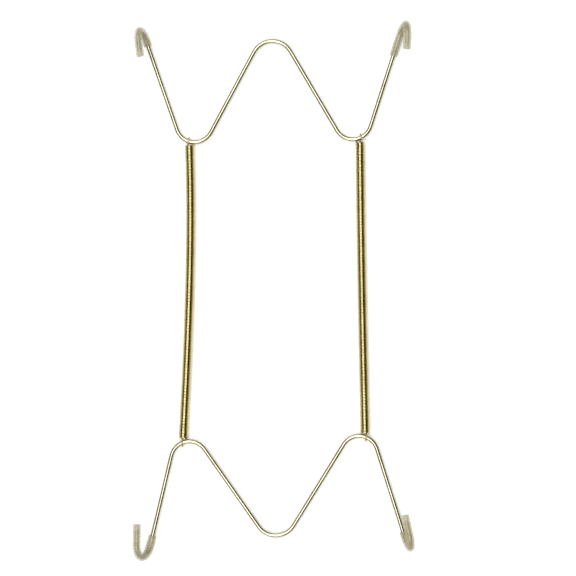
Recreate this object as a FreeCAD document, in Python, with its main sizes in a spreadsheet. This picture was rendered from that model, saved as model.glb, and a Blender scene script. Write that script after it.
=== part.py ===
import FreeCAD, Part
import math
import os
import Sketcher

# Wall hanger for a display plate: two bent wire hangers, each with two sleeved rim hooks,
# drawn together by two extension springs whose end loops ride in the valleys of the wires.
# It lies on its back: +X to the right, +Y up the wall, +Z out of the wall towards the room.
# The origin is on the table under the middle of the outline. Millimetres and degrees.

Vector = FreeCAD.Vector
UP = Vector(0, 0, 1)

DIMENSIONS = [
    ("wire_diameter", 1.8, "hanger wire"),
    ("valley_radius", 7.6, "centreline bend that holds a spring loop"),
    ("peak_radius", 8.6, "centreline bend in the middle of a hanger"),
    ("hook_radius", 5.5, "centreline bend of a rim hook, two quarter turns"),
    ("sleeve_outer", 3.2, "soft sleeve, outside diameter"),
    ("sleeve_bore", 1.9, "soft sleeve, inside diameter"),
    ("sleeve_overhang", 2.5, "sleeve past the cut end of the wire"),
    ("spring_wire", 0.6, "spring wire"),
    ("spring_outer", 4.0, "coil, outside diameter"),
    ("loop_inner", 2.6, "end loop, inside diameter"),
    ("loop_standoff", 1.6, "coil end to the middle of its loop"),
    ("loop_gap_angle", 20.0, "opening between a loop's cut end and its closing point"),
    ("left_spring_top_x", -34.7, "upper loop of the left spring"),
    ("left_spring_bottom_x", -37.3, "lower loop of the left spring"),
    ("right_spring_top_x", 35.3, "upper loop of the right spring"),
    ("right_spring_bottom_x", 37.4, "lower loop of the right spring"),
    ("upper_peak_x", -1.0, "corner where the upper inner legs would meet"),
    ("upper_peak_y", 111.4, "the same"),
    ("lower_peak_x", 1.2, "corner where the lower inner legs would meet"),
    ("lower_peak_y", -107.3, "the same"),
    ("upper_left_valley_x", -34.1, "corner where inner and outer leg would meet"),
    ("upper_left_valley_y", 49.7, "the same"),
    ("upper_right_valley_x", 34.4, "the same"),
    ("upper_right_valley_y", 51.3, "the same"),
    ("lower_left_valley_x", -38.2, "the same"),
    ("lower_left_valley_y", -51.0, "the same"),
    ("lower_right_valley_x", 37.2, "the same"),
    ("lower_right_valley_y", -48.9, "the same"),
    ("upper_left_leg_length", 54.5, "outer leg, valley corner to the start of the hook"),
    ("upper_right_leg_length", 54.9, "the same"),
    ("lower_left_leg_length", 54.1, "the same"),
    ("lower_right_leg_length", 53.1, "the same"),
    ("upper_left_leg_angle", 19.1, "outer leg, outwards from the Y axis"),
    ("upper_right_leg_angle", 17.8, "the same"),
    ("lower_left_leg_angle", 13.2, "the same"),
    ("lower_right_leg_angle", 17.5, "the same"),
    ("upper_left_hook_lean", 9.5, "hook, outwards from upright"),
    ("upper_right_hook_lean", 8.4, "the same"),
    ("lower_left_hook_lean", 22.0, "the same"),
    ("lower_right_hook_lean", 6.4, "the same"),
    ("upper_left_hook_splay", 12.1, "returning end, outwards from the leg"),
    ("upper_right_hook_splay", 14.8, "the same"),
    ("lower_left_hook_splay", 13.2, "the same"),
    ("lower_right_hook_splay", 5.8, "the same"),
    ("upper_left_hook_return", 2.9, "straight wire after the hook's bend"),
    ("upper_right_hook_return", 2.3, "the same"),
    ("lower_left_hook_return", 5.4, "the same"),
    ("lower_right_hook_return", 5.9, "the same"),
    ("upper_left_sleeve_grip", 1.0, "sleeve on the outer leg, before the hook's bend"),
    ("upper_right_sleeve_grip", 7.5, "the same"),
    ("lower_left_sleeve_grip", 3.4, "the same"),
    ("lower_right_sleeve_grip", 1.0, "the same"),
]

doc = FreeCAD.newDocument("plate_hanger")
sheet = doc.addObject("Spreadsheet::Sheet", "dimensions")


def add_cell(alias, number, note):
    row = len(sheet.getUsedCells()) // 3 + 1
    sheet.set(f"A{row}", alias)
    sheet.set(f"B{row}", str(number))
    sheet.set(f"C{row}", note)
    sheet.setAlias(f"B{row}", alias)


def size(alias):
    return float(getattr(sheet, alias))


def part_feature(label, shape):
    feature = doc.addObject("Part::Feature", label)
    feature.Shape = shape
    return feature


def facing(direction):
    return FreeCAD.Rotation(UP, direction)


# ---------------------------------------------------------------- bent wire and its sleeves

def round_corner(before, corner, after, radius):
    """The arc that rounds a corner: its start, middle, end and centre."""
    back = (before - corner).normalize()
    forth = (after - corner).normalize()
    half_angle = back.getAngle(forth) / 2
    reach = radius / math.tan(half_angle)
    bisector = (back + forth).normalize()
    centre = corner + bisector * (radius / math.sin(half_angle))
    return corner + back * reach, centre - bisector * radius, corner + forth * reach, centre


def outer_leg(hook):
    """The valley corner of a hook's outer leg, the leg's direction and its far end."""
    plane = Vector(0, 0, wire_plane)
    corner = Vector(size(f"{hook}_valley_x"), size(f"{hook}_valley_y"), 0) + plane
    angle = math.radians(size(f"{hook}_leg_angle"))
    across = math.copysign(math.sin(angle), corner.x)
    along = math.copysign(math.cos(angle), corner.y)
    leg = Vector(across, along, 0)
    return corner, leg, corner + leg * size(f"{hook}_leg_length")


def hook_centreline(hook, grip, reach):
    """Edges from a stretch of the outer leg, over the hook and back, with the end's direction.

    grip is the length kept on the leg and reach the length after the bend."""
    corner, leg, start = outer_leg(hook)
    outward = leg.cross(UP)
    outward = outward * math.copysign(1, outward.x * corner.x)
    lean = math.radians(size(f"{hook}_hook_lean"))
    splay = math.radians(size(f"{hook}_hook_splay"))
    rise = UP * math.cos(lean) + outward * math.sin(lean)
    beside = outward * math.cos(lean) - UP * math.sin(lean)
    back = beside * math.sin(splay) - leg * math.cos(splay)
    radius = size("hook_radius")
    diagonal = radius * math.sqrt(0.5)
    first_centre = start + rise * radius
    crest = first_centre + leg * radius
    second_centre = crest + back * radius
    turned = second_centre + rise * radius
    first_middle = first_centre + leg * diagonal - rise * diagonal
    second_middle = second_centre - back * diagonal + rise * diagonal
    edges = [
        Part.makeLine(start - leg * grip, start),
        Part.Arc(start, first_middle, crest).toShape(),
        Part.Arc(crest, second_middle, turned).toShape(),
        Part.makeLine(turned, turned + back * reach),
    ]
    return edges, turned + back * reach, back


def hanger_centreline(level):
    """The whole centreline of the upper or lower hanger wire, from hook tip to hook tip."""
    peak = Vector(size(f"{level}_peak_x"), size(f"{level}_peak_y"), wire_plane)
    edges = []
    inner_ends = []
    for side in ("left", "right"):
        hook = f"{level}_{side}"
        corner, leg, far_end = outer_leg(hook)
        begin, middle, end, centre = round_corner(far_end, corner, peak, size("valley_radius"))
        grip = (far_end - begin).Length
        hook_edges, tip, back = hook_centreline(hook, grip, size(f"{hook}_hook_return"))
        edges += hook_edges
        edges.append(Part.Arc(begin, middle, end).toShape())
        inner_ends.append((corner, end, tip, back))
    left, right = inner_ends
    begin, middle, end, centre = round_corner(left[0], peak, right[0], size("peak_radius"))
    edges.append(Part.makeLine(left[1], begin))
    edges.append(Part.Arc(begin, middle, end).toShape())
    edges.append(Part.makeLine(end, right[1]))
    return Part.Wire(Part.sortEdges(edges)[0]), left[2], left[3]


def sweep_circle(label, path, start, direction, diameter):
    """A round bar along a path; diameter is an expression on the sheet."""
    section = doc.addObject("Part::Circle", f"{label}_section")
    section.setExpression("Radius", f"({diameter}) / 2")
    section.Placement = FreeCAD.Placement(start, facing(direction))
    bar = doc.addObject("Part::Sweep", label)
    bar.Sections = [section]
    bar.Spine = (path, [])
    bar.Solid = True
    return bar


def hanger_wire(level):
    centreline, tip, back = hanger_centreline(level)
    path = part_feature(f"{level}_hanger_path", centreline)
    wire = sweep_circle(f"{level}_hanger_wire", path, tip, back, "dimensions.wire_diameter")
    return wire, centreline.Length


def hook_sleeve(hook):
    reach = size(f"{hook}_hook_return") + size("sleeve_overhang")
    edges, tip, back = hook_centreline(hook, size(f"{hook}_sleeve_grip"), reach)
    path = part_feature(f"{hook}_sleeve_path", Part.Wire(edges))
    outside = sweep_circle(f"{hook}_sleeve_outside", path, tip, back, "dimensions.sleeve_outer")
    bore = sweep_circle(f"{hook}_sleeve_bore", path, tip, back, "dimensions.sleeve_bore")
    sleeve = doc.addObject("Part::Cut", f"{hook}_sleeve")
    sleeve.Base = outside
    sleeve.Tool = bore
    return sleeve


# ---------------------------------------------------------------- springs

def loop_centre(level, side):
    """Where a spring's loop rides on the valley bend, at the sheet's x."""
    hook = f"{level}_{side}"
    peak = Vector(size(f"{level}_peak_x"), size(f"{level}_peak_y"), wire_plane)
    corner, leg, far_end = outer_leg(hook)
    centre = round_corner(far_end, corner, peak, size("valley_radius"))[3]
    end = {"upper": "top", "lower": "bottom"}[level]
    x = size(f"{side}_spring_{end}_x")
    drop = math.sqrt(size("valley_radius") ** 2 - (x - centre.x) ** 2)
    return Vector(x, centre.y - math.copysign(drop, corner.y), wire_plane)


def origin_plane(body, role):
    return [plane for plane in body.Origin.OriginFeatures if plane.Role == role][0]


def new_sketch(body, name, role):
    sketch = body.newObject("Sketcher::SketchObject", name)
    sketch.AttachmentSupport = [(origin_plane(body, role), "")]
    sketch.MapMode = "FlatFace"
    return sketch


def bound(sketch, constraint, name, expression):
    index = sketch.addConstraint(constraint)
    sketch.renameConstraint(index, name)
    sketch.setExpression(f"Constraints.{name}", expression)


def spring_coil(side, lower_end, upper_end):
    """The close-wound body of a spring as a tube with the coil's outer and inner diameter."""
    axis = (upper_end - lower_end).normalize()
    standoff = size("loop_standoff")
    length = (upper_end - lower_end).Length - 2 * standoff
    add_cell(f"{side}_coil_length", round(length, 6), "worked out from the loops' places")
    doc.recompute()
    body = doc.addObject("PartDesign::Body", f"{side}_spring_coil")
    sketch = new_sketch(body, f"{side}_coil_wall", "XY_Plane")
    inner = size("spring_outer") / 2 - size("spring_wire")
    outer = size("spring_outer") / 2
    corners = [Vector(inner, 0, 0), Vector(outer, 0, 0), Vector(outer, length, 0), Vector(inner, length, 0)]
    for index, point in enumerate(corners):
        sketch.addGeometry(Part.LineSegment(point, corners[(index + 1) % 4]), False)
    for index in range(4):
        sketch.addConstraint(Sketcher.Constraint("Coincident", index, 2, (index + 1) % 4, 1))
    for index in (0, 2):
        sketch.addConstraint(Sketcher.Constraint("Horizontal", index))
    for index in (1, 3):
        sketch.addConstraint(Sketcher.Constraint("Vertical", index))
    sketch.addConstraint(Sketcher.Constraint("PointOnObject", 0, 1, -1))
    bound(sketch, Sketcher.Constraint("DistanceX", -1, 1, 0, 1, inner), "bore_radius",
          "dimensions.spring_outer / 2 - dimensions.spring_wire")
    bound(sketch, Sketcher.Constraint("DistanceX", 0, 1, 0, 2, outer - inner), "wall",
          "dimensions.spring_wire")
    bound(sketch, Sketcher.Constraint("DistanceY", 1, 1, 1, 2, length), "coil_length",
          f"dimensions.{side}_coil_length")
    coil = body.newObject("PartDesign::Revolution", f"{side}_coil_revolved")
    coil.Profile = sketch
    coil.ReferenceAxis = (sketch, ["V_Axis"])
    coil.Angle = 360
    turn = FreeCAD.Rotation(Vector(0, 1, 0), axis)
    body.Placement = FreeCAD.Placement(lower_end + axis * standoff, turn)
    return body


def spring_loop(label, centre, outward):
    """One end loop: a straight run off the coil's last turn, then most of a circle."""
    body = doc.addObject("PartDesign::Body", label)
    radius = (size("loop_inner") + size("spring_wire")) / 2
    standoff = size("loop_standoff")
    gap = math.radians(size("loop_gap_angle"))
    mean_radius = "(dimensions.loop_inner + dimensions.spring_wire) / 2"

    spine = new_sketch(body, f"{label}_spine", "YZ_Plane")
    spine.addGeometry(Part.LineSegment(Vector(-standoff, radius, 0), Vector(0, radius, 0)), False)
    circle = Part.Circle(Vector(0, 0, 0), UP, radius)
    spine.addGeometry(Part.ArcOfCircle(circle, gap - math.pi, math.pi / 2), False)
    spine.addConstraint(Sketcher.Constraint("Coincident", 1, 3, -1, 1))
    spine.addConstraint(Sketcher.Constraint("PointOnObject", 1, 2, -2))
    spine.addConstraint(Sketcher.Constraint("Coincident", 0, 2, 1, 2))
    spine.addConstraint(Sketcher.Constraint("Horizontal", 0))
    bound(spine, Sketcher.Constraint("Radius", 1, radius), "ring_radius", mean_radius)
    bound(spine, Sketcher.Constraint("DistanceX", 0, 1, 0, 2, standoff), "run",
          "dimensions.loop_standoff")
    bound(spine, Sketcher.Constraint("DistanceY", 1, 1, -1, 1, radius * math.sin(gap)), "cut_end",
          f"{mean_radius} * sin(dimensions.loop_gap_angle * 1 deg)")

    section = new_sketch(body, f"{label}_section", "XZ_Plane")
    section.setExpression("AttachmentOffset.Base.z", "dimensions.loop_standoff")
    section.addGeometry(Part.Circle(Vector(0, radius, 0), UP, size("spring_wire") / 2), False)
    section.addConstraint(Sketcher.Constraint("PointOnObject", 0, 3, -2))
    bound(section, Sketcher.Constraint("DistanceY", -1, 1, 0, 3, radius), "ring_radius", mean_radius)
    bound(section, Sketcher.Constraint("Radius", 0, size("spring_wire") / 2), "wire_radius",
          "dimensions.spring_wire / 2")

    pipe = body.newObject("PartDesign::AdditivePipe", f"{label}_pipe")
    pipe.Profile = section
    pipe.Spine = (spine, ["Edge1", "Edge2"])
    body.Placement = FreeCAD.Placement(centre, FreeCAD.Rotation(UP, math.degrees(outward)))
    return body


# ---------------------------------------------------------------- the assembly

for alias, number, note in DIMENSIONS:
    add_cell(alias, number, note)
doc.recompute()

# The coils rest on the table, and the wires run through the middles of their loops.
wire_plane = size("spring_outer") / 2

subparts = []
wire_lengths = {}
for level in ("upper", "lower"):
    wire, length = hanger_wire(level)
    subparts.append(wire)
    wire_lengths[wire.Label] = length
    for side in ("left", "right"):
        subparts.append(hook_sleeve(f"{level}_{side}"))

for side in ("left", "right"):
    upper_end = loop_centre("upper", side)
    lower_end = loop_centre("lower", side)
    slant = (upper_end - lower_end)
    turn = -math.atan2(slant.x, slant.y)
    subparts.append(spring_coil(side, lower_end, upper_end))
    subparts.append(spring_loop(f"{side}_spring_upper_loop", upper_end, turn))
    subparts.append(spring_loop(f"{side}_spring_lower_loop", lower_end, turn + math.pi))
    print(side, "spring loops at", upper_end, lower_end)

doc.recompute()

for feature in doc.Objects:
    if "Invalid" in feature.State or "Error" in feature.State:
        raise RuntimeError(f"{feature.Label} did not build: {feature.State}")
for piece in subparts:
    if piece.Shape.isNull() or not piece.Shape.isValid() or len(piece.Shape.Solids) != 1:
        raise RuntimeError(f"{piece.Label} is not one valid solid")

section_area = math.pi * size("wire_diameter") ** 2 / 4
for piece in subparts:
    if piece.Label in wire_lengths:
        expected = section_area * wire_lengths[piece.Label]
        print(piece.Label, "volume", round(piece.Shape.Volume, 2), "expected", round(expected, 2))

os.makedirs("parts", exist_ok=True)
box = FreeCAD.BoundBox()
for piece in subparts:
    piece.Shape.exportStep(f"parts/{piece.Label}.step")
    box.add(piece.Shape.BoundBox)
    print(piece.Label, round(piece.Shape.Volume, 2), "mm3")
print("outline", box)
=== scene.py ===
import math
from collections import namedtuple

import bmesh
import bpy
from mathutils import Matrix, Vector, noise
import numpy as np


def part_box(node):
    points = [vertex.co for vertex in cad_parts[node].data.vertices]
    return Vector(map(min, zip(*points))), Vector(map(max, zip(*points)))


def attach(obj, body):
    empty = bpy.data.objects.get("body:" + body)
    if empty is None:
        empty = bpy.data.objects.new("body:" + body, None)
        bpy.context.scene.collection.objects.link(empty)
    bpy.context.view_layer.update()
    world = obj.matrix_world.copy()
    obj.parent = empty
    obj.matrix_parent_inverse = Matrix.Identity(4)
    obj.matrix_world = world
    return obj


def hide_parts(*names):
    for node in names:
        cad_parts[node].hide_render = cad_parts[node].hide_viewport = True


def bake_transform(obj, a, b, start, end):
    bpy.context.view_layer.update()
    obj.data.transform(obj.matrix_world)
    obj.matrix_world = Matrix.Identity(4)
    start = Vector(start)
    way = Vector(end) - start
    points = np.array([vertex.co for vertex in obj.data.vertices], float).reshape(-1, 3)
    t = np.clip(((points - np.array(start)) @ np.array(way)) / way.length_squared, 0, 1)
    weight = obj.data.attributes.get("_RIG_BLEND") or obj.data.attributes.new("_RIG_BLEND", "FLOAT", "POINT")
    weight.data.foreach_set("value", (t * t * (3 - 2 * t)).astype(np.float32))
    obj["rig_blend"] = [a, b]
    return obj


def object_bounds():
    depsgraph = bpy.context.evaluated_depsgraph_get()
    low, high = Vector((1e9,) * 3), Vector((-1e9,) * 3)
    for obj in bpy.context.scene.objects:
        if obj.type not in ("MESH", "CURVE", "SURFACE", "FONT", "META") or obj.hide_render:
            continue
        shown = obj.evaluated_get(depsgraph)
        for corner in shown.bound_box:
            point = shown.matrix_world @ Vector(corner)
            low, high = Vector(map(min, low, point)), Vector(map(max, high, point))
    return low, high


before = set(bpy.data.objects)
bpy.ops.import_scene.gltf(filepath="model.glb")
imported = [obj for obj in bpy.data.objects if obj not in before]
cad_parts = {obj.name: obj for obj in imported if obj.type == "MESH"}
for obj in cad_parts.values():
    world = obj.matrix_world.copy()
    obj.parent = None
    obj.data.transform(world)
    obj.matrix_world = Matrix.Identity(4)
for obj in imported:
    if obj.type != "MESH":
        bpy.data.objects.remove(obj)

# Wall hanger for a display plate, lying on its back: bent plated wires, two close-wound
# springs and four soft sleeves. Metres; angles in degrees where a name says so.

cad_low, cad_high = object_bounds()

MM = 0.001
UP = Vector((0, 0, 1))

# Bent wires. The bends are those of the wire's middle line, and BEND_FADE is how far the
# marks of a bend reach along the straight wire beside it.
WIRE_RADIUS = 0.9 * MM
WIRE_SIDES = 24
WIRE_RIM = 0.18 * MM
VALLEY_BEND = 7.6 * MM
PEAK_BEND = 8.6 * MM
HOOK_BEND = 5.5 * MM
BEND_STEP = math.radians(6)
FEWEST_BEND_STEPS = 4
BEND_FADE = 1.2 * MM
SHORTEST_RUN = 0.01 * MM
WIRE_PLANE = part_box("upper_hanger_wire")[0].z + WIRE_RADIUS

# Soft sleeves. The wrinkles' unevenness is in waves to the metre.
SLEEVE_RADIUS = 1.6 * MM
SLEEVE_BORE = 0.95 * MM
SLEEVE_SIDES = 32
SLEEVE_OVERHANG = 2.5 * MM
SLEEVE_BEND_STEP = math.radians(2)
SLEEVE_WELD = 0.01 * MM
MOUTH_ROUNDING = 0.2 * MM
WRINKLE_DEPTH = 0.09 * MM
WRINKLE_SPACING = 1.25 * MM
WRINKLE_UNEVENNESS = 500.0

# Springs. COIL_STANDOFF is from the middle of a loop to the first turn of the coil, and
# LOOP_SIDE is how far beside the coil's axis the wire leaves it for the loop. LOOP_YAW turns
# the loop about the upright. A bow is how far a coil curves towards +X at half its length,
# and BOW_HIGH moves the deepest place towards the upper loop.
SPRING_WIRE_RADIUS = 0.3 * MM
SPRING_SIDES = 8
SPRING_RIM = 0.06 * MM
COIL_MEAN_RADIUS = 1.7 * MM
TURN_STEPS = 20
TURNS_PER_LENGTH = 15
COIL_LENGTHS = 13
COIL_STANDOFF = 1.5 * MM
COIL_WELD = 0.003 * MM
LAST_HALF_RISE = 0.2 * MM
LAST_HALF_STEPS = 14
LOOP_MEAN_RADIUS = 1.7 * MM
LOOP_SIDE = 0.6 * MM
LOOP_YAW = math.radians(9)
LOOP_SWEEP = math.radians(290)
LOOP_STEPS = 36
BOW_HIGH = 0.3
LEFT_BOW = 1.35 * MM
RIGHT_BOW = -0.25 * MM

# Fine relief of the finishes.
DIE_LINE_DEPTH = 0.02 * MM
VINYL_MOTTLE_DEPTH = 0.03 * MM

# Table, light and camera.
TABLE_HALF_WIDTH = 1.5
LIGHT_PLACE = (-0.22, 0.0, 1.25)
LIGHT_AIM = (-0.22, 0.0, 0.0)
LIGHT_WIDTH = 1.0
LIGHT_LENGTH = 3.2
LIGHT_POWER = 34.0
WALL_LEFT = 0.09
WALL_RIGHT = 0.04
BACKDROP_BRIGHTNESS = 1.0
VIEW_WIDTH = 236.2 * MM
VIEW_CENTRE = (5.75 * MM, 1.2 * MM)
CAMERA_DISTANCE = 0.9

# A hook and the outer leg that carries it, in millimetres and degrees. valley is where the
# inner and outer leg would meet, and leg is the length from there to the hook's bend. lean
# tips the hook outwards, and splay turns its end outwards from the leg. tail is the straight
# wire after the hook's bend, and grip is how far the sleeve reaches down the leg.
Hook = namedtuple("Hook", "valley leg leg_angle lean splay tail grip")
HOOKS = {
    "upper_left": Hook((-34.1, 49.7), 54.5, 19.1, 9.5, 12.1, 2.9, 1.0),
    "upper_right": Hook((34.4, 51.3), 54.9, 17.8, 8.4, 14.8, 2.3, 7.5),
    "lower_left": Hook((-38.2, -51.0), 54.1, 13.2, 22.0, 13.2, 5.4, 3.4),
    "lower_right": Hook((37.2, -48.9), 53.1, 17.5, 6.4, 5.8, 5.9, 1.0),
}

# Where the inner legs of each hanger wire would meet.
PEAKS = {"upper": (-1.0, 111.4), "lower": (1.2, -107.3)}


# ---------------------------------------------------------------- sweeping a round section

def start_ring(bm, centre, direction, radius, sides):
    """A circle of edges square to direction, with how far round each corner is."""
    turned = direction.to_track_quat("Z", "Y").to_matrix().to_4x4()
    made = bmesh.ops.create_circle(
        bm, cap_ends=False, radius=radius, segments=sides,
        matrix=Matrix.Translation(centre) @ turned)
    around = bm.verts.layers.float["around"]
    for index, corner in enumerate(made["verts"]):
        corner[around] = index / sides
    return list({edge for corner in made["verts"] for edge in corner.link_edges})


def stamp_distance(bm, first_new, sides, begin, step):
    """Writes the distance along the wire on the corners a sweep has just added."""
    along = bm.verts.layers.float["along"]
    for index, corner in enumerate(list(bm.verts)[first_new:]):
        corner[along] = begin + step * (index // sides + 1)


def ring_distance(bm, ring):
    """How far along the wire a ring stands."""
    return ring[0].verts[0][bm.verts.layers.float["along"]]


def ring_middle(ring):
    """The middle of a ring, from both ends of each of its edges."""
    return sum((edge.verts[0].co + edge.verts[1].co for edge in ring), Vector()) / (2 * len(ring))


def run(bm, ring, travel):
    """Draws the ring out in a straight line, with a short step at each end of a long one."""
    bent = bm.verts.layers.float["bent"]
    steps = [travel]
    if travel.length > 4 * BEND_FADE:
        short = travel.normalized() * BEND_FADE
        steps = [short, travel - short * 2, short]
    for step in steps:
        first_new = len(bm.verts)
        begin = ring_distance(bm, ring)
        made = bmesh.ops.extrude_edge_only(bm, edges=ring)
        corners = {item for item in made["geom"] if isinstance(item, bmesh.types.BMVert)}
        bmesh.ops.translate(bm, verts=list(corners), vec=step)
        for corner in corners:
            corner[bent] = 0.0
        stamp_distance(bm, first_new, len(ring), begin, step.length)
        edges = [item for item in made["geom"] if isinstance(item, bmesh.types.BMEdge)]
        ring = [edge for edge in edges if corners.issuperset(edge.verts)]
    return ring


def bend(bm, ring, centre, axis, angle, steps, advance=0.0):
    """Turns the ring about an axis; advance along the axis for the whole turn makes a helix."""
    first_new = len(bm.verts)
    begin = ring_distance(bm, ring)
    arm = ring_middle(ring) - centre
    arm -= axis * arm.dot(axis)
    corners = list({corner for edge in ring for corner in edge.verts})
    made = bmesh.ops.spin(
        bm, geom=corners + ring, cent=centre, axis=axis, dvec=axis * (advance / steps),
        angle=angle, steps=steps, use_merge=False, use_duplicate=False)
    stamp_distance(bm, first_new, len(ring), begin, math.hypot(arm.length * angle, advance) / steps)
    bent = bm.verts.layers.float["bent"]
    for corner in corners + list(bm.verts)[first_new:]:
        corner[bent] = 1.0
    return [item for item in made["geom_last"] if isinstance(item, bmesh.types.BMEdge)]


def follow(bm, ring, points, radii, step_angle):
    """Sweeps the ring along straight runs whose corners are rounded to the given radii."""
    place = points[0]
    for before, corner, after, radius in zip(points, points[1:], points[2:], radii):
        back = (before - corner).normalized()
        forth = (after - corner).normalized()
        half = back.angle(forth) / 2
        reach = radius / math.tan(half)
        centre = corner + (back + forth).normalized() * (radius / math.sin(half))
        travel = corner + back * reach - place
        if travel.length > SHORTEST_RUN:
            ring = run(bm, ring, travel)
        angle = math.pi - 2 * half
        axis = (-back).cross(forth).normalized()
        ring = bend(bm, ring, centre, axis, angle, max(FEWEST_BEND_STEPS, round(angle / step_angle)))
        place = corner + forth * reach
    return run(bm, ring, points[-1] - place)


def close_end(bm, ring, rim):
    """Fills an end and rounds its rim, as a cropped and tumbled wire end is."""
    bmesh.ops.edgeloop_fill(bm, edges=ring)
    bmesh.ops.bevel(bm, geom=ring, offset=rim, segments=2, profile=0.5, affect="EDGES", material=-1)


def new_bmesh():
    """An empty mesh whose corners know how far along and around the wire they are, and how bent."""
    bm = bmesh.new()
    bm.verts.layers.float.new("along")
    bm.verts.layers.float.new("around")
    bm.verts.layers.float.new("bent")
    return bm


def lay_uv(bm):
    """U is the distance along the wire in millimetres and V is the share of the way round."""
    along = bm.verts.layers.float["along"]
    around = bm.verts.layers.float["around"]
    uv = bm.loops.layers.uv.new("along_wire")
    for face in bm.faces:
        shares = [corner[around] for corner in face.verts]
        crosses_seam = max(shares) - min(shares) > 0.5
        for loop in face.loops:
            share = loop.vert[around]
            if crosses_seam and share < 0.5:
                share += 1
            loop[uv].uv = (loop.vert[along] / MM, share)


def finished_piece(bm, name, material):
    """Makes a smooth shaded object of the mesh, with its finish."""
    lay_uv(bm)
    bmesh.ops.recalc_face_normals(bm, faces=bm.faces)
    mesh = bpy.data.meshes.new(name)
    bm.to_mesh(mesh)
    bm.free()
    mesh.shade_smooth()
    mesh.materials.append(material)
    piece = bpy.data.objects.new(name, mesh)
    bpy.context.scene.collection.objects.link(piece)
    return piece


# ---------------------------------------------------------------- the wires and their sleeves

HookPath = namedtuple("HookPath", "valley leg low_corner high_corner back")


def hook_path(hook):
    """A hook's valley, its leg's direction, its two square corners and the way its end returns."""
    valley = Vector((hook.valley[0] * MM, hook.valley[1] * MM, WIRE_PLANE))
    across = math.copysign(math.sin(math.radians(hook.leg_angle)), valley.x)
    upward = math.copysign(math.cos(math.radians(hook.leg_angle)), valley.y)
    leg = Vector((across, upward, 0))
    outward = leg.cross(UP)
    outward *= math.copysign(1, outward.x * valley.x)
    lean = math.radians(hook.lean)
    splay = math.radians(hook.splay)
    rise = UP * math.cos(lean) + outward * math.sin(lean)
    beside = outward * math.cos(lean) - UP * math.sin(lean)
    back = beside * math.sin(splay) - leg * math.cos(splay)
    low_corner = valley + leg * (hook.leg * MM + HOOK_BEND)
    high_corner = low_corner + rise * (2 * HOOK_BEND)
    return HookPath(valley, leg, low_corner, high_corner, back)


def hanger_wire(level, material):
    """One hanger wire, swept from the tip of its left hook to the tip of its right hook."""
    halves = []
    for side in ("left", "right"):
        hook = HOOKS[f"{level}_{side}"]
        path = hook_path(hook)
        tip = path.high_corner + path.back * (HOOK_BEND + hook.tail * MM)
        halves.append([path.valley, path.low_corner, path.high_corner, tip])
    left, right = halves
    peak = Vector((PEAKS[level][0] * MM, PEAKS[level][1] * MM, WIRE_PLANE))
    route = left[::-1] + [peak] + right
    radii = [HOOK_BEND, HOOK_BEND, VALLEY_BEND, PEAK_BEND, VALLEY_BEND, HOOK_BEND, HOOK_BEND]
    bm = new_bmesh()
    first = start_ring(bm, route[0], (route[1] - route[0]).normalized(), WIRE_RADIUS, WIRE_SIDES)
    last = follow(bm, first, route, radii, BEND_STEP)
    for end in (first, last):
        close_end(bm, end, WIRE_RIM)
    piece = finished_piece(bm, f"{level}_hanger", material)
    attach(piece, f"{level}_hanger")
    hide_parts(f"{level}_hanger_wire")


def wrinkle(bm, inside):
    """Puckers a tube's wall where its bends squeeze it, on the side that faces the inside point."""
    along = bm.verts.layers.float["along"]
    bent = bm.verts.layers.float["bent"]
    corners = list(bm.verts)
    for first in range(0, len(corners), SLEEVE_SIDES):
        ring = corners[first:first + SLEEVE_SIDES]
        middle = sum((corner.co for corner in ring), Vector()) / SLEEVE_SIDES
        inward = (inside - middle).normalized()
        for corner in ring:
            outward = (corner.co - middle).normalized()
            squeezed = max(0, outward.dot(inward)) ** 2 * corner[bent]
            waver = 2 * noise.noise(corner.co * WRINKLE_UNEVENNESS)
            pucker = 0.5 - 0.5 * math.cos(2 * math.pi * corner[along] / WRINKLE_SPACING + waver)
            corner.co -= outward * (WRINKLE_DEPTH * squeezed * pucker)


def face_mouth(bm, mouth):
    """Draws a tube's outer edge in to its bore, so that the wall has a flat cut end."""
    middle = ring_middle(mouth)
    made = bmesh.ops.extrude_edge_only(bm, edges=mouth)
    corners = [item for item in made["geom"] if isinstance(item, bmesh.types.BMVert)]
    share = SLEEVE_BORE / SLEEVE_RADIUS
    bmesh.ops.scale(bm, verts=corners, vec=(share, share, share), space=Matrix.Translation(-middle))


def sleeve(name, material):
    """A soft tube pushed over a hook, open at both ends and puckered inside its bends."""
    hook = HOOKS[name]
    path = hook_path(hook)
    begin = path.low_corner - path.leg * (HOOK_BEND + hook.grip * MM)
    end = path.high_corner + path.back * (HOOK_BEND + hook.tail * MM + SLEEVE_OVERHANG)
    route = [begin, path.low_corner, path.high_corner, end]
    radii = [HOOK_BEND, HOOK_BEND]
    inside = (path.low_corner + path.high_corner) / 2 - path.leg * HOOK_BEND
    bm = new_bmesh()
    first = start_ring(bm, begin, path.leg, SLEEVE_RADIUS, SLEEVE_SIDES)
    last = follow(bm, first, route, radii, SLEEVE_BEND_STEP)
    wrinkle(bm, inside)
    bore = start_ring(bm, begin, path.leg, SLEEVE_BORE, SLEEVE_SIDES)
    follow(bm, bore, route, radii, SLEEVE_BEND_STEP)
    for mouth in (first, last):
        face_mouth(bm, mouth)
    bmesh.ops.remove_doubles(bm, verts=bm.verts, dist=SLEEVE_WELD)
    for mouth in (first, last):
        bmesh.ops.bevel(
            bm, geom=mouth, offset=MOUTH_ROUNDING, segments=3, profile=0.5, affect="EDGES", material=-1)
    piece = finished_piece(bm, f"{name}_soft_sleeve", material)
    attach(piece, f"{name.split('_')[0]}_hanger")
    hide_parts(f"{name}_sleeve")


# ---------------------------------------------------------------- the springs

def loop_middle(node, end):
    """The middle of a spring's end loop; end is +1 at the top of the hanger and -1 below."""
    low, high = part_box(node)
    outside = (high.z - low.z) / 2
    y = high.y - outside if end > 0 else low.y + outside
    return Vector(((low.x + high.x) / 2, y, low.z + outside))


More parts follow.
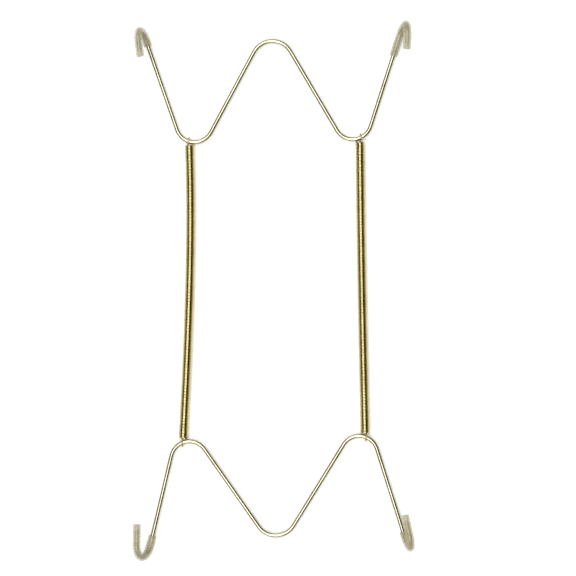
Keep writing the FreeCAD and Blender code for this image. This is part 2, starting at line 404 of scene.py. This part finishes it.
def end_loop(bm, ring, end, lean):
    """Opens the coil's last half turn and carries the wire round into an open loop.

    end is +1 or -1 along the coil's axis, and lean tips the loop sideways, to +X or -X."""
    axis = Vector((0, end, 0))
    tight = (COIL_MEAN_RADIUS + LOOP_SIDE) / 2
    turning_point = ring_middle(ring) - Vector((lean * tight, 0, 0))
    ring = bend(bm, ring, turning_point, axis, math.pi, LAST_HALF_STEPS, LAST_HALF_RISE)
    out = Vector((lean * math.sin(LOOP_YAW), end * math.cos(LOOP_YAW), 0))
    heading = UP * (end * lean)
    centre = ring_middle(ring) + out * LOOP_MEAN_RADIUS
    last = bend(bm, ring, centre, heading.cross(out), LOOP_SWEEP, LOOP_STEPS)
    close_end(bm, last, SPRING_RIM)


def wind_coil(bm, lean, low_y, rise):
    """Close turns along +Y from low_y, made as one length of turns repeated end to end.

    Returns the open rings at the lower and upper end."""
    along = bm.verts.layers.float["along"]
    length_rise = rise / COIL_LENGTHS
    begin = Vector((lean * COIL_MEAN_RADIUS, low_y, 0))
    first = start_ring(bm, begin, Vector((0, 0, -lean)), SPRING_WIRE_RADIUS, SPRING_SIDES)
    last = bend(
        bm, first, Vector((0, low_y, 0)), Vector((0, 1, 0)), 2 * math.pi * TURNS_PER_LENGTH,
        TURNS_PER_LENGTH * TURN_STEPS, length_rise)
    wire_length = ring_distance(bm, last)
    pattern = bm.verts[:] + bm.edges[:] + bm.faces[:]
    for index in range(1, COIL_LENGTHS):
        copy = bmesh.ops.duplicate(bm, geom=pattern)
        corners = [item for item in copy["geom"] if isinstance(item, bmesh.types.BMVert)]
        bmesh.ops.translate(bm, verts=corners, vec=(0, index * length_rise, 0))
        for corner in corners:
            corner[along] += index * wire_length
    bmesh.ops.remove_doubles(bm, verts=bm.verts, dist=COIL_WELD)
    open_edges = [edge for edge in bm.edges if edge.is_boundary]
    middle = low_y + rise / 2
    lower = [edge for edge in open_edges if edge.verts[0].co.y < middle]
    upper = [edge for edge in open_edges if edge.verts[0].co.y > middle]
    return lower, upper


def spring(side, lean, bow, material):
    """One extension spring: a single wire, wound close, with a loop turned out at each end.

    It is wound along +Y, bowed a little more above its middle than below, and then set
    between its two loops."""
    lower = loop_middle(f"{side}_spring_lower_loop", -1)
    upper = loop_middle(f"{side}_spring_upper_loop", 1)
    length = (upper - lower).length
    low_y = COIL_STANDOFF + SPRING_WIRE_RADIUS
    bm = new_bmesh()
    lower_end, upper_end = wind_coil(bm, lean, low_y, length - 2 * low_y)
    end_loop(bm, upper_end, 1, lean)
    end_loop(bm, lower_end, -1, lean)
    for corner in bm.verts:
        share = min(1, max(0, corner.co.y / length))
        corner.co.x += bow * (1 - (2 * share - 1) ** 2) * (1 + BOW_HIGH * (2 * share - 1))
    slant = math.atan2(lower.x - upper.x, upper.y - lower.y)
    in_place = Matrix.Translation(lower) @ Matrix.Rotation(slant, 4, "Z")
    bmesh.ops.transform(bm, matrix=in_place, verts=bm.verts)
    piece = finished_piece(bm, f"{side}_spring_wound", material)
    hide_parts(f"{side}_spring_upper_loop", f"{side}_spring_coil", f"{side}_spring_lower_loop")
    direction = (upper - lower).normalized()
    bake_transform(piece, f"{side}_spring", f"{side}_spring_foot",
             start=upper - direction * low_y, end=lower + direction * low_y)


# ---------------------------------------------------------------- finishes

def new_group(name, inputs, outputs):
    """An empty shader group with typed inputs, given as (name, type, value), and outputs."""
    group = bpy.data.node_groups.new(name, "ShaderNodeTree")
    for label, kind, value in inputs:
        socket = group.interface.new_socket(label, in_out="INPUT", socket_type=kind)
        socket.default_value = value
    for label, kind in outputs:
        group.interface.new_socket(label, in_out="OUTPUT", socket_type=kind)
    return group, group.nodes.new("NodeGroupInput"), group.nodes.new("NodeGroupOutput")


def cloud(group, source, scale_socket, detail):
    """A noise texture inside a group."""
    texture = group.nodes.new("ShaderNodeTexNoise")
    texture.inputs["Detail"].default_value = detail
    group.links.new(source, texture.inputs["Vector"])
    group.links.new(scale_socket, texture.inputs["Scale"])
    return texture


def patchy_tone_group():
    """A colour that drifts from bright to dull in soft patches with a fine grain."""
    group, given, result = new_group(
        "patchy_tone",
        [("Bright", "NodeSocketColor", (1, 1, 1, 1)), ("Dull", "NodeSocketColor", (0.5, 0.5, 0.5, 1)),
         ("Patch Scale", "NodeSocketFloat", 90.0), ("Fine Scale", "NodeSocketFloat", 900.0)],
        [("Color", "NodeSocketColor")])
    place = group.nodes.new("ShaderNodeTexCoord")
    patches = cloud(group, place.outputs["Object"], given.outputs["Patch Scale"], 4.0)
    grain = cloud(group, place.outputs["Object"], given.outputs["Fine Scale"], 2.0)
    both = group.nodes.new("ShaderNodeMath")
    both.operation = "MULTIPLY"
    group.links.new(patches.outputs["Fac"], both.inputs[0])
    group.links.new(grain.outputs["Fac"], both.inputs[1])
    spread = group.nodes.new("ShaderNodeMapRange")
    spread.inputs["From Min"].default_value = 0.16
    spread.inputs["From Max"].default_value = 0.38
    group.links.new(both.outputs["Value"], spread.inputs["Value"])
    mix = group.nodes.new("ShaderNodeMix")
    mix.data_type = "RGBA"
    group.links.new(spread.outputs["Result"], mix.inputs["Factor"])
    group.links.new(given.outputs["Bright"], mix.inputs["A"])
    group.links.new(given.outputs["Dull"], mix.inputs["B"])
    group.links.new(mix.outputs["Result"], result.inputs["Color"])
    return group


def handling_group():
    """Roughness that varies where fingers have touched the surface, and more at its bends."""
    group, given, result = new_group(
        "handling_marks",
        [("Smooth", "NodeSocketFloat", 0.1), ("Rubbed", "NodeSocketFloat", 0.3),
         ("Scale", "NodeSocketFloat", 300.0), ("Bend Scuff", "NodeSocketFloat", 0.0)],
        [("Roughness", "NodeSocketFloat")])
    place = group.nodes.new("ShaderNodeTexCoord")
    smears = cloud(group, place.outputs["Object"], given.outputs["Scale"], 5.0)
    spread = group.nodes.new("ShaderNodeMapRange")
    spread.inputs["From Min"].default_value = 0.35
    spread.inputs["From Max"].default_value = 0.7
    group.links.new(smears.outputs["Fac"], spread.inputs["Value"])
    group.links.new(given.outputs["Smooth"], spread.inputs["To Min"])
    group.links.new(given.outputs["Rubbed"], spread.inputs["To Max"])
    bend_mask = group.nodes.new("ShaderNodeAttribute")
    bend_mask.attribute_name = "bent"
    broken = group.nodes.new("ShaderNodeMath")
    broken.operation = "MULTIPLY"
    group.links.new(bend_mask.outputs["Fac"], broken.inputs[0])
    group.links.new(smears.outputs["Fac"], broken.inputs[1])
    scuffed = group.nodes.new("ShaderNodeMath")
    scuffed.operation = "MULTIPLY_ADD"
    group.links.new(broken.outputs["Value"], scuffed.inputs[0])
    group.links.new(given.outputs["Bend Scuff"], scuffed.inputs[1])
    group.links.new(spread.outputs["Result"], scuffed.inputs[2])
    group.links.new(scuffed.outputs["Value"], result.inputs["Roughness"])
    return group


def die_line_group():
    """Fine lines that a drawing die leaves along a wire, from its UV map."""
    group, given, result = new_group(
        "die_lines",
        [("Lines Round", "NodeSocketFloat", 40.0), ("Stretch", "NodeSocketFloat", 0.05)],
        [("Height", "NodeSocketFloat")])
    place = group.nodes.new("ShaderNodeUVMap")
    place.uv_map = "along_wire"
    parts = group.nodes.new("ShaderNodeSeparateXYZ")
    group.links.new(place.outputs["UV"], parts.inputs["Vector"])
    along = group.nodes.new("ShaderNodeMath")
    along.operation = "MULTIPLY"
    group.links.new(parts.outputs["X"], along.inputs[0])
    group.links.new(given.outputs["Stretch"], along.inputs[1])
    around = group.nodes.new("ShaderNodeMath")
    around.operation = "MULTIPLY"
    group.links.new(parts.outputs["Y"], around.inputs[0])
    group.links.new(given.outputs["Lines Round"], around.inputs[1])
    joined = group.nodes.new("ShaderNodeCombineXYZ")
    group.links.new(along.outputs["Value"], joined.inputs["X"])
    group.links.new(around.outputs["Value"], joined.inputs["Y"])
    lines = group.nodes.new("ShaderNodeTexNoise")
    lines.inputs["Scale"].default_value = 1.0
    lines.inputs["Detail"].default_value = 3.0
    group.links.new(joined.outputs["Vector"], lines.inputs["Vector"])
    group.links.new(lines.outputs["Fac"], result.inputs["Height"])
    return group


def use_group(material, group, values):
    """Places a shared group in a material with the material's own values."""
    node = material.node_tree.nodes.new("ShaderNodeGroup")
    node.node_tree = group
    for name, value in values.items():
        node.inputs[name].default_value = value
    return node


def new_material(name):
    """A new material, with its shader and its links."""
    material = bpy.data.materials.new(name)
    material.use_nodes = True
    return material, material.node_tree.nodes["Principled BSDF"], material.node_tree.links


def add_bump(material, shader, height, strength, depth):
    """Raises a height over the surface as fine relief."""
    bump = material.node_tree.nodes.new("ShaderNodeBump")
    bump.inputs["Strength"].default_value = strength
    bump.inputs["Distance"].default_value = depth
    material.node_tree.links.new(height, bump.inputs["Height"])
    material.node_tree.links.new(bump.outputs["Normal"], shader.inputs["Normal"])


def plated_wire(name, bright, dull, smooth, rubbed, scuff, line_strength):
    """Bright plated wire: patchy tone, rubbed roughness and lines from the drawing die."""
    material, shader, links = new_material(name)
    shader.inputs["Metallic"].default_value = 1.0
    tone = use_group(material, PATCHY_TONE, {"Bright": bright, "Dull": dull})
    marks = use_group(material, HANDLING, {"Smooth": smooth, "Rubbed": rubbed, "Bend Scuff": scuff})
    lines = use_group(material, DIE_LINES, {})
    links.new(tone.outputs["Color"], shader.inputs["Base Color"])
    links.new(marks.outputs["Roughness"], shader.inputs["Roughness"])
    add_bump(material, shader, lines.outputs["Height"], line_strength, DIE_LINE_DEPTH)
    return material


def clear_vinyl(name):
    """Soft clear tube, yellowed a little and hazy, with a fine mottled surface."""
    material, shader, links = new_material(name)
    tone = use_group(material, PATCHY_TONE, {
        "Bright": (0.57, 0.53, 0.34, 1), "Dull": (0.48, 0.44, 0.27, 1),
        "Patch Scale": 160.0, "Fine Scale": 300.0})
    marks = use_group(material, HANDLING, {"Smooth": 0.14, "Rubbed": 0.26, "Scale": 150.0})
    links.new(tone.outputs["Color"], shader.inputs["Base Color"])
    links.new(marks.outputs["Roughness"], shader.inputs["Roughness"])
    shader.inputs["Alpha"].default_value = 0.45
    shader.inputs["IOR"].default_value = 1.5
    add_bump(material, shader, marks.outputs["Roughness"], 0.06, VINYL_MOTTLE_DEPTH)
    return material


def table_surface():
    """Plain pale card under the hanger."""
    material, shader, links = new_material("pale_card")
    tone = use_group(material, PATCHY_TONE, {
        "Bright": (0.93, 0.93, 0.925, 1), "Dull": (0.91, 0.91, 0.91, 1),
        "Patch Scale": 6.0, "Fine Scale": 400.0})
    links.new(tone.outputs["Color"], shader.inputs["Base Color"])
    shader.inputs["Roughness"].default_value = 0.9
    shader.inputs["Specular IOR Level"].default_value = 0.1
    links.new(tone.outputs["Color"], shader.inputs["Emission Color"])
    shader.inputs["Emission Strength"].default_value = 0.25
    return material


# ---------------------------------------------------------------- table, light and camera

def table(material):
    """The flat top that the hanger lies on."""
    bm = bmesh.new()
    bmesh.ops.create_grid(
        bm, x_segments=1, y_segments=1, size=TABLE_HALF_WIDTH,
        matrix=Matrix.Translation((0, 0, cad_low.z)))
    mesh = bpy.data.meshes.new("table_top")
    bm.to_mesh(mesh)
    bm.free()
    mesh.materials.append(material)
    piece = bpy.data.objects.new("table_top", mesh)
    bpy.context.scene.collection.objects.link(piece)


def strip_light(name, place, aim, width, length, power):
    """A long soft light at a place, aimed at a point."""
    light = bpy.data.lights.new(name, "AREA")
    light.shape = "RECTANGLE"
    light.size = width
    light.size_y = length
    light.energy = power
    lamp = bpy.data.objects.new(name, light)
    lamp.location = place
    lamp.rotation_mode = "QUATERNION"
    lamp.rotation_quaternion = (Vector(aim) - Vector(place)).to_track_quat("-Z", "Y")
    bpy.context.scene.collection.objects.link(lamp)


def studio_world():
    """Dim walls for the metal to mirror, darker on the right, and pale where seen directly."""
    world = bpy.data.worlds.new("studio")
    world.use_nodes = True
    nodes = world.node_tree.nodes
    links = world.node_tree.links
    background = nodes["Background"]
    place = nodes.new("ShaderNodeTexCoord")
    parts = nodes.new("ShaderNodeSeparateXYZ")
    links.new(place.outputs["Generated"], parts.inputs["Vector"])
    across = nodes.new("ShaderNodeMapRange")
    across.inputs["From Min"].default_value = -0.5
    across.inputs["From Max"].default_value = 0.5
    across.inputs["To Min"].default_value = WALL_LEFT
    across.inputs["To Max"].default_value = WALL_RIGHT
    links.new(parts.outputs["X"], across.inputs["Value"])
    path = nodes.new("ShaderNodeLightPath")
    seen = nodes.new("ShaderNodeMix")
    links.new(path.outputs["Is Camera Ray"], seen.inputs["Factor"])
    links.new(across.outputs["Result"], seen.inputs["A"])
    seen.inputs["B"].default_value = BACKDROP_BRIGHTNESS
    links.new(seen.outputs["Result"], background.inputs["Strength"])
    background.inputs["Color"].default_value = (1, 1, 1, 1)
    bpy.context.scene.world = world


def camera():
    """Looks straight down on the hanger, and takes in the view's width at the wires' height."""
    data = bpy.data.cameras.new("camera")
    data.sensor_width = 36.0
    data.lens = data.sensor_width * CAMERA_DISTANCE / VIEW_WIDTH
    data.clip_start = 0.01
    eye = bpy.data.objects.new("camera", data)
    eye.location = (VIEW_CENTRE[0], VIEW_CENTRE[1], WIRE_PLANE + CAMERA_DISTANCE)
    bpy.context.scene.collection.objects.link(eye)
    bpy.context.scene.camera = eye


# ---------------------------------------------------------------- the hanger on its table

PATCHY_TONE = patchy_tone_group()
HANDLING = handling_group()
DIE_LINES = die_line_group()

champagne_wire = plated_wire(
    "champagne_plated_wire", bright=(0.52, 0.49, 0.355, 1), dull=(0.40, 0.365, 0.235, 1),
    smooth=0.1, rubbed=0.22, scuff=0.16, line_strength=0.4)
golden_wire = plated_wire(
    "golden_spring_wire", bright=(0.68, 0.58, 0.28, 1), dull=(0.55, 0.45, 0.19, 1),
    smooth=0.12, rubbed=0.24, scuff=0.0, line_strength=0.3)
vinyl = clear_vinyl("clear_vinyl")

for level in ("upper", "lower"):
    hanger_wire(level, champagne_wire)
for name in HOOKS:
    sleeve(name, vinyl)
spring("left", lean=1, bow=LEFT_BOW, material=golden_wire)
spring("right", lean=-1, bow=RIGHT_BOW, material=golden_wire)

table(table_surface())
strip_light("overhead_strip", LIGHT_PLACE, LIGHT_AIM, LIGHT_WIDTH, LIGHT_LENGTH, LIGHT_POWER)
studio_world()
camera()
bpy.context.scene.view_settings.view_transform = "Standard"
